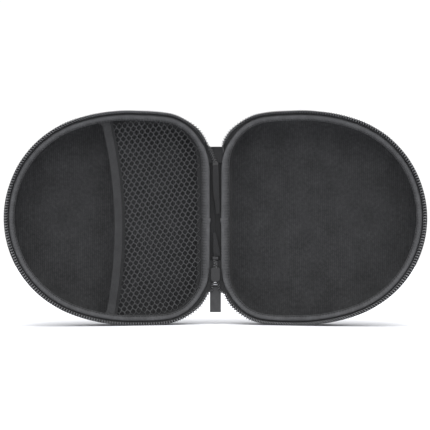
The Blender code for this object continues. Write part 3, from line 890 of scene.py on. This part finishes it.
def pocket_depth(s, t, outline):
    """The pocket hangs from the binding and settles into the bowl a little way in."""
    inside = border_distance(s, t, outline)
    dip = smoothstep(inside / NET_DIP)
    belly = NET_BELLY * np.sin(np.clip(s / POCKET_MIDDLE, 0, 1) * math.pi) * np.cos(t / HALF_HEIGHT * 1.4)
    return NET_TOP + (NET_DEPTH - NET_TOP) * dip + belly * dip


def net(looks):
    """A knitted net: slanting rows of rounded holes with a lens-shaped thread round each."""
    outline = whole_outline(POCKET_WALL)
    outline = outline[outline[:, 0] < POCKET_MIDDLE + 14 * MM]
    step, row = np.array(NET_STEP), np.array(NET_ROW)
    corners = np.array(((1, 1), (-1, 2), (-2, 1), (-1, -1), (1, -2), (2, -1)))
    upright = CELL_SIDE / 6  # half the length of a cell's upright sides, as a share of a step and a row
    near, far = 0.5 - upright, 0.5 + upright
    shape = np.array(((near, near), (upright - 0.5, far), (-far, near)))
    shape = np.vstack((shape, -shape))
    index, flat, rise, uses, faces = {}, [], [], [], []

    def vertex(key, place, height):
        if key not in index:
            index[key] = len(flat)
            flat.append(place)
            rise.append(height)
            uses.append(0)
        uses[index[key]] += 1
        return index[key]

    for i in range(-NET_HOLES, NET_HOLES + 1):
        for j in range(-NET_HOLES, NET_HOLES + 1):
            hole = i * step + j * row + (POCKET_MIDDLE / 2, 0)
            if not in_net(*hole):
                continue
            edge, middle, rim = [], [], []
            for k in range(6):
                n = (k + 1) % 6
                at_corner = (2 * corners[k], shape[k])
                half_way = (corners[k] + corners[n], (shape[k] + shape[n]) / 2)
                for part, spot in (at_corner, half_way):
                    key = (6 * i + part[0], 6 * j + part[1])
                    offset = spot[0] * step + spot[1] * row
                    circle = offset / np.linalg.norm(offset) * HOLE_RADIUS
                    inner = offset * HOLE_CELL + circle * HOLE_ROUND
                    between = hole + offset * 0.5 + inner * 0.5
                    edge.append(vertex(("edge", *key), hole + offset, THREAD_RISE[0]))
                    middle.append(vertex(("thread", i, j, *key), between, THREAD_RISE[1]))
                    rim.append(vertex(("hole", i, j, *key), hole + inner, 0.0))
            for k in range(12):
                n = (k + 1) % 12
                faces.append((edge[k], edge[n], middle[n], middle[k]))
                faces.append((middle[k], middle[n], rim[n], rim[k]))
    for key, n in index.items():
        corner = key[0] == "edge" and key[1] % 2 == 0 and key[2] % 2 == 0
        if key[0] == "edge" and uses[n] < (3 if corner else 2):
            rise[n] = 0.0
    flat, rise = np.array(flat), np.array(rise)
    s = flat[:, 0] + 0.3 * MM * np.sin(flat[:, 1] / (23 * MM))
    t = flat[:, 1] + 0.35 * MM * np.sin(flat[:, 0] / (17 * MM))
    depth = pocket_depth(s, t, outline)
    middle = np.column_stack((s, depth, t))
    lift = np.column_stack((0 * s, rise, 0 * s))
    below = np.arange(len(flat)) + len(flat)
    below[rise == 0] -= len(flat)
    faces += [tuple(int(below[n]) for n in reversed(face)) for face in faces]
    verts, faces = keep_used(np.vstack((middle - lift, middle + lift)), faces)
    return pocket_piece("pocket_net_mesh", verts, faces, looks["net"], "pocket_net")


def pocket_piece(name, verts, faces, look, *replaced):
    """A piece of the pocket from (s, d, t) points."""
    cloth = np.column_stack((verts[:, 0], verts[:, 2], 0 * verts[:, 0]))
    obj = make_object(name, to_world(verts, LEFT), faces, look, cloth)
    return ride(obj, "left_half", "net_thread", *replaced)


def in_net(s, t):
    """Whether a hole this far from the fold and from mid height is in the net."""
    if s > free_edge(t) + 0.4 * MM or s < INSIDE + NET_MARGIN:
        return False
    return abs(t) < wall_reach(INSIDE + NET_MARGIN, s)


def keep_used(verts, faces):
    """The points that faces use, and the faces renumbered."""
    used = sorted({n for face in faces for n in face})
    place = {old: new for new, old in enumerate(used)}
    return verts[used], [tuple(place[n] for n in face) for face in faces]


def edge_line(near, steps, reach):
    """(s, t) points beside the pocket's free edge, from reach below mid height to reach above."""
    t = np.linspace(-reach, reach, steps + 1)
    return np.column_stack((free_edge(t) + near, t))


def pocket_band(name, near, width, thickness, look, lift, spread=0.0):
    """A ribbed band along the net's free edge; its ends spread where they go under the binding."""
    reach = wall_reach(INSIDE - 2.2 * MM, POCKET_MIDDLE + POCKET_BOW + near + width / 2)
    outline = whole_outline(POCKET_WALL)
    middle = edge_line(near + width / 2, 260, reach)
    flare = smoothstep((np.abs(middle[:, 1]) - reach + BAND_END) / BAND_END) ** 2
    flare *= np.where(middle[:, 1] > 0, 1.0, 0.45) * spread
    middle[:, 0] += flare / 2
    depth = pocket_depth(middle[:, 0], middle[:, 1], outline) - lift
    line = np.column_stack((middle[:, 0], depth, middle[:, 1]))
    line = to_world(line, LEFT)
    forward = tangents(line)
    bowlward = to_world(np.array([(0, 1, 0)]), LEFT) - to_world(np.array([(0, 0, 0)]), LEFT)
    across = unit(np.cross(forward, bowlward))
    up = unit(np.cross(across, forward))
    section = ribbon_section(width, thickness, 12)
    inner = np.linspace(-0.46, 0.46, 15)[1:-1]
    upper = np.column_stack((inner[::-1] * width, np.full(13, thickness / 2)))
    lower = np.column_stack((inner * width, np.full(13, -thickness / 2)))
    turn = len(section) // 2
    section = np.vstack((section[:turn], upper, section[turn:], lower))
    ribs = 0.08 * MM * np.cos(section[:, 0] / width * 2 * math.pi * 6)
    section[:, 1] += np.sign(section[:, 1]) * ribs
    wide = (width + flare) / width
    section = np.stack([section * (w, 1) for w in wide])
    return sweep(name, line, across, up, section, look), line, across, up


def net_margin(looks):
    """The plain knitted edge that joins the net to the walls, under the binding."""
    upper = upper_outline(INSIDE - 2.5 * MM)
    inner = upper_outline(INSIDE + 4.9 * MM)
    keep = upper[:, 0] < POCKET_MIDDLE + 3 * MM
    outer = np.vstack((upper[keep], (upper[keep] * (1, -1))[-2::-1]))
    inner = np.vstack((inner[keep], (inner[keep] * (1, -1))[-2::-1]))
    outline = whole_outline(POCKET_WALL)
    rows = []
    for share in np.linspace(0, 1, 7):
        line = outer + (inner - outer) * share
        rows.append(with_depth(line, pocket_depth(line[:, 0], line[:, 1], outline) + 0.25 * MM))
    verts, faces = thick_sheet(np.stack(rows, axis=1), 0.35 * MM)
    return pocket_piece("pocket_net_margin", verts, faces, looks["margin"])


def overlock(name, line, across, up, width, height, thread):
    """A zigzag of thread over a band."""
    along = lengths(line)
    count = int(along[-1] / OVERLOCK_PITCH)
    phase = np.linspace(0, count, count * 6 + 1)
    place = phase * along[-1] / count
    swing = np.sin(phase * math.pi) * width / 2
    middle, sideways, out = (points_at(place, along, rows) for rows in (line, across, up))
    path = middle + sideways * swing[:, None] + out * height
    obj = tubes(name, [path], THREAD_RADIUS, 6, thread)
    return ride(obj, "left_half", "binding_ribbon")


def pocket(looks):
    """The net, its hem and the elastic band of its free edge."""
    mesh = net(looks)
    margin = net_margin(looks)
    hem, line, across, up = pocket_band(
        "pocket_hem_ribbon", HEM_NEAR, HEM_WIDTH, 1.1 * MM, looks["margin"], 0.1 * MM)
    ride(hem, "left_half", "binding_ribbon", "pocket_hem")
    zigzag = overlock(
        "pocket_hem_overlock", line, across, up, HEM_WIDTH * 1.1, 0.6 * MM, looks["light_thread"])
    band, line, across, up = pocket_band(
        "pocket_elastic_band", ELASTIC_NEAR, ELASTIC_WIDTH, 1.5 * MM, looks["elastic"], 0.3 * MM, 7 * MM)
    ride(band, "left_half", "elastic_band", "pocket_elastic")


# Spine and zip ends

def spine(looks):
    """Lining, pressed foam and outer fabric of the hinge, each in two strips that meet mid way."""
    layers = (
        ("lining", "lining_knit", looks["valley"], "spine_lining"),
        ("foam", "foam", looks["foam"], "spine_core"),
        ("cover", "cover_fabric", looks["cover"], "spine_cover"),
    )
    for side, prefix in SIDES:
        for label, slot, look, node in layers:
            low, high = (Vector(corner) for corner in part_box(node))
            middle = (low.y + high.y) / 2 + SPINE_BACK
            heights = (low.z - 1.6 * MM, high.z - 0.4 * MM)
            size = (SPINE_STRIP[1], high.y - low.y)
            piece = upright_strip(
                f"spine_{label}_{prefix}", side * SPINE_STRIP[0], middle, heights, size, -1.0, look, 120)
            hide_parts(node)
            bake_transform(piece)


def zip_runs(looks):
    """Where each half's zip leaves the rim and crosses to the spine: its coil and its tape."""
    low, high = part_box("upper_chain_end")
    chain_y = (low[1] + high[1]) / 2 / MM
    for side, prefix in SIDES:
        coil = to_world(leave_rim(zip_line(*COIL_AT), side), side)
        root = to_world(zip_line(*TAPE_ROOT), side)
        rim = to_world(np.array([(0.9 * MM, -0.5 * MM, 0)]), side)[0]
        lower = [coil[0]]
        for x, y, z in (*LOWER_CROSSING, *((x, chain_y, z) for x, z in BESIDE_CHAIN)):
            lower.append((side * x * MM, y * MM, z * MM))
        upper = [coil[-1]]
        upper += [(x * MM, y * MM, z * MM) for x, y, z in UPPER_CROSSING[side]]
        for label, end, points, tops in (("lower", 0, lower, (40 * MM, 58 * MM)),
                                         ("upper", -1, upper, (157 * MM, 146.5 * MM))):
            line = smooth_line(points, 70)
            far = smooth_line([root[end], (rim[0], rim[1], tops[0]), (rim[0], rim[1], tops[1])], 70)
            up = unit(line - far)
            out = unit(np.cross(tangents(line), up))
            if label == "lower":
                piece = run_cloth(f"{prefix}_lower_zip_tape", line, far, looks["tape"])
            else:
                piece = valley_cloth(side, prefix, points[0], looks["tape"])
            helix = coil_line(line, up, out, COIL_PITCH, reach=CROSSING_REACH)
            # these coils take the darker nylon, painted shade of the valley
            teeth = tubes(f"{prefix}_{label}_zip_teeth", [helix], COIL_WIRE, 6, looks["valley_shaded_coil"])
            for obj, slot in ((piece, "zip_tape_weave"), (teeth, "zip_nylon")):
                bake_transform(obj)


def run_cloth(name, near, far, look):
    """A cloth between two lines, with a slight sag between them."""
    shares = np.linspace(0, 1, 7)
    front = np.stack([near + (far - near) * share for share in shares], axis=1)
    front[..., 1] += np.sin(shares * math.pi) * CROSSING_SAG
    return cloth_between(name, front, look)


def valley_cloth(side, prefix, coil_end, look):
    """The tape at the top of the hinge's valley, from the rim to the coil and then to the joined chain."""
    x, _, z = UPPER_CROSSING[side][0]
    turns = [(coil_end[2], coil_end[0]), (z * MM, x * MM)]
    turns += [(z * MM, x * MM) for x, _, z in CHAIN_LEAN]
    height = np.linspace(coil_end[2] + 0.6 * MM, 146.6 * MM, 34)
    reach = np.interp(height[::-1], *zip(*reversed(turns)))[::-1]
    corner = upper_outline(0)[::-1]
    corner = corner[corner[:, 0] < CORNER_RADIUS]
    rows = []
    for z, x in zip(height, reach):
        t = z - HALF_HEIGHT
        edge = float(np.interp(t, corner[:, 1], corner[:, 0])) + 0.6 * MM
        rim = to_world(np.array([(edge, -0.35 * MM, t)]), side)[0]
        end = np.array((x, 9.9 * MM, z))
        rows.append(np.array([rim + (end - rim) * share for share in np.linspace(0, 1, 10)]))
    return cloth_between(f"{prefix}_upper_zip_tape", np.array(rows), look)


def cloth_between(name, front, look):
    """A cloth whose front is a grid of points, thickened towards the back of the case."""
    verts, faces = thick_sheet(front, CROSSING_THICKNESS)
    cloth = np.column_stack((verts[:, 2], verts[:, 0], 0 * verts[:, 0]))
    return make_object(name, verts, faces, look, cloth)


def joined_chain(name, points, node, looks, pulled_by=None):
    """The two coils meshed together, with the line of thread down each; without pulled_by they move with
    the spine.
    """
    line = smooth_line(np.array(points) * MM, 80)
    forward = tangents(line)
    front = np.tile((0.0, -1.0, 0), (len(line), 1))
    across = unit(np.cross(forward, front))
    front = unit(np.cross(across, forward))
    along = lengths(line)
    turns = along[-1] / COIL_PITCH
    count = int(turns * 14)
    place = np.linspace(0, along[-1], count + 1)
    middle, sideways, ahead = (points_at(place, along, rows) for rows in (line, across, front))
    sideways, ahead = unit(sideways), unit(ahead)
    lines = []
    for hand in (-1, 1):
        angle = np.linspace(0, 2 * math.pi * turns, count + 1) + (math.pi if hand > 0 else 0)
        swing = hand * (CHAIN_APART - CHAIN_LOOP[0] * np.cos(angle))
        rise = CHAIN_LOOP[1] * np.sin(angle)
        lines.append(middle + sideways * swing[:, None] + ahead * rise[:, None])
    # the chain's coils take the darker nylon, painted shade of the valley
    teeth = tubes(name + "_teeth", lines, COIL_WIRE * 0.9, 6, looks["valley_shaded_coil"])
    seams = [middle + sideways * hand * CHAIN_SEAM[0] - ahead * CHAIN_SEAM[1] for hand in (-1, 1)]
    core = tubes(name + "_core", seams, CHAIN_SEAM_RADIUS, 6, looks["tape"])
    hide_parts(node)
    for obj, slot in ((teeth, "zip_nylon"), (core, "zip_tape_weave")):
        if pulled_by is None:
            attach(obj, "spine")
        else:
            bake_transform(obj)


def finish_node(node, look):
    """A CAD node keeps its shape and gets a new material."""
    materials = frame["nodes"][node].data.materials
    materials.clear()
    materials.append(look)


def folded_tape(label, looks):
    """A spare end of the zip's tape, curled along its length."""
    low, high = (Vector(corner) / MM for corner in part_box(f"{label}_tape_end"))
    y = (low.y + high.y) / 2
    points = [(x, y + back, (low.z, high.z)[top] + rise) for x, back, top, rise, _ in FOLDED_TAPES[label]]
    widths = [row[-1] for row in FOLDED_TAPES[label]]
    line = smooth_line(np.array(points) * MM, 80)
    across = np.tile((1.0, 0, 0), (81, 1))
    up = unit(np.cross(tangents(line), across))
    across = np.cross(up, tangents(line))
    fold = np.array([(math.sin(a), 0.35 * math.cos(a)) for a in np.linspace(-1.25, 1.25, 13)])
    section = np.vstack((fold, (fold * 0.86)[::-1]))
    wide = np.interp(np.linspace(0, 1, 81), np.linspace(0, 1, len(widths)), widths) * MM
    section = np.stack([section * w for w in wide])
    piece = sweep(f"{label}_folded_tape", line, across, up, section, looks["tape_end"])
    ride(piece, "spine", "zip_tape_weave", f"{label}_tape_end")


def chain_pieces(looks):
    """The joined chain's ends, their stops and the folded spare ends of the tape."""
    for node in ("upper_stop", "lower_stop"):
        finish_node(node, looks["zinc"])
    joined_chain("upper_chain", CHAIN_LEAN, "upper_chain_end", looks, "left_half")
    joined_chain("lower_chain", LOWER_CHAIN, "lower_chain_end", looks)
    folded_tape("upper", looks)
    folded_tape("lower", looks)


def puller(looks):
    """The slider, its link and the tab, with the strap that closes the tab round the link."""
    for node, look in (("slider_body", "zinc"), ("pull_link", "steel"), ("pull_tab", "rubber")):
        finish_node(node, looks[look])
    strap = upright_strip(
        "pull_tab_strap", 0, STRAP_BACK, STRAP_HEIGHTS, STRAP_SIZE, 1.0, looks["rubber"], 12)
    ride(strap, "tab", "pull_rubber")


# Studio

def studio():
    """A pale floor, a white surround and broad soft lights."""
    floor = bpy.data.meshes.new("floor")
    size = FLOOR_REACH
    corners = [(-size, -size, 0), (size, -size, 0), (size, size, 0), (-size, size, 0)]
    floor.from_pydata(corners, [], [(0, 1, 2, 3)])
    paper = Nodes("floor_paper", 0.9, specular=0.1)
    paper.solid()
    paper.colour(paper.noise(0.02, 2), ((0.3, 0.88), (0.7, 0.89)))
    floor.materials.append(paper.material)
    placed("floor", floor)
    world = bpy.data.worlds.new("studio")
    world.use_nodes = True
    back = world.node_tree.nodes["Background"]
    back.inputs["Color"].default_value = (1, 1, 1, 1)
    back.inputs["Strength"].default_value = SURROUND_STRENGTH
    bpy.context.scene.world = world
    for light in LIGHTS:
        add_light(*light)


def add_light(name, direction, strength, spread):
    """A broad far light that comes from a direction; spread is its angle in degrees."""
    lamp = bpy.data.lights.new(name, "SUN")
    lamp.energy = strength
    lamp.angle = math.radians(spread)
    placed(name, lamp).rotation_euler = Vector(direction).to_track_quat("Z", "Y").to_euler()


def add_camera():
    """The camera in front of the open case, just above the floor, aimed at the case's middle."""
    data = bpy.data.cameras.new("camera")
    data.sensor_width = 36
    data.lens = LENS
    camera = placed("camera", data)
    camera.location = (CAMERA_X, FOLD.y - CAMERA_AWAY, CAMERA_HEIGHT)
    aim = Vector((CAMERA_X, FOLD.y, AIM_HEIGHT)) - camera.location
    camera.rotation_euler = aim.to_track_quat("-Z", "Y").to_euler()
    bpy.context.scene.camera = camera


def build():
    looks = {
        "cover": cover_fabric(),
        "foam": core_foam(),
        "lining": lining_knit(),
        "binding": binding_ribbon(),
        "tape": zip_tape_weave("zip_tape_herringbone", (0.012, 0.024, 0.045)),
        "valley": zip_tape_weave("spine_lining_weave", (0.008, 0.017, 0.032)),
        "tape_end": zip_tape_weave("zip_tape_end_herringbone", (0.012, 0.026, 0.05)),
        "coil": coil_nylon("coil_nylon", (0.07, 0.2)),
        # painted shade: a darker copy of the coil nylon, for the coils in the hinge's valley
        "valley_shaded_coil": coil_nylon("coil_nylon_valley_shade", (0.02, 0.06)),
        "core": sewing_thread("coil_core_thread", 0.003, 0.01),
        "dark_thread": sewing_thread("stitch_thread_dark", 0.008, 0.03),
        "light_thread": sewing_thread("stitch_thread_light", 0.04, 0.1),
        "margin": net_edge_knit(),
        "net": net_thread(),
        "elastic": elastic_weave(),
        "zinc": painted_zinc(),
        "steel": bright_steel(),
        "rubber": tab_rubber(),
    }
    add_camera()
    studio()
    for side, prefix in SIDES:
        half(side, prefix, looks)
    pocket(looks)
    spine(looks)
    zip_runs(looks)
    chain_pieces(looks)
    puller(looks)


bpy.context.scene.view_settings.view_transform = "Standard"
build()
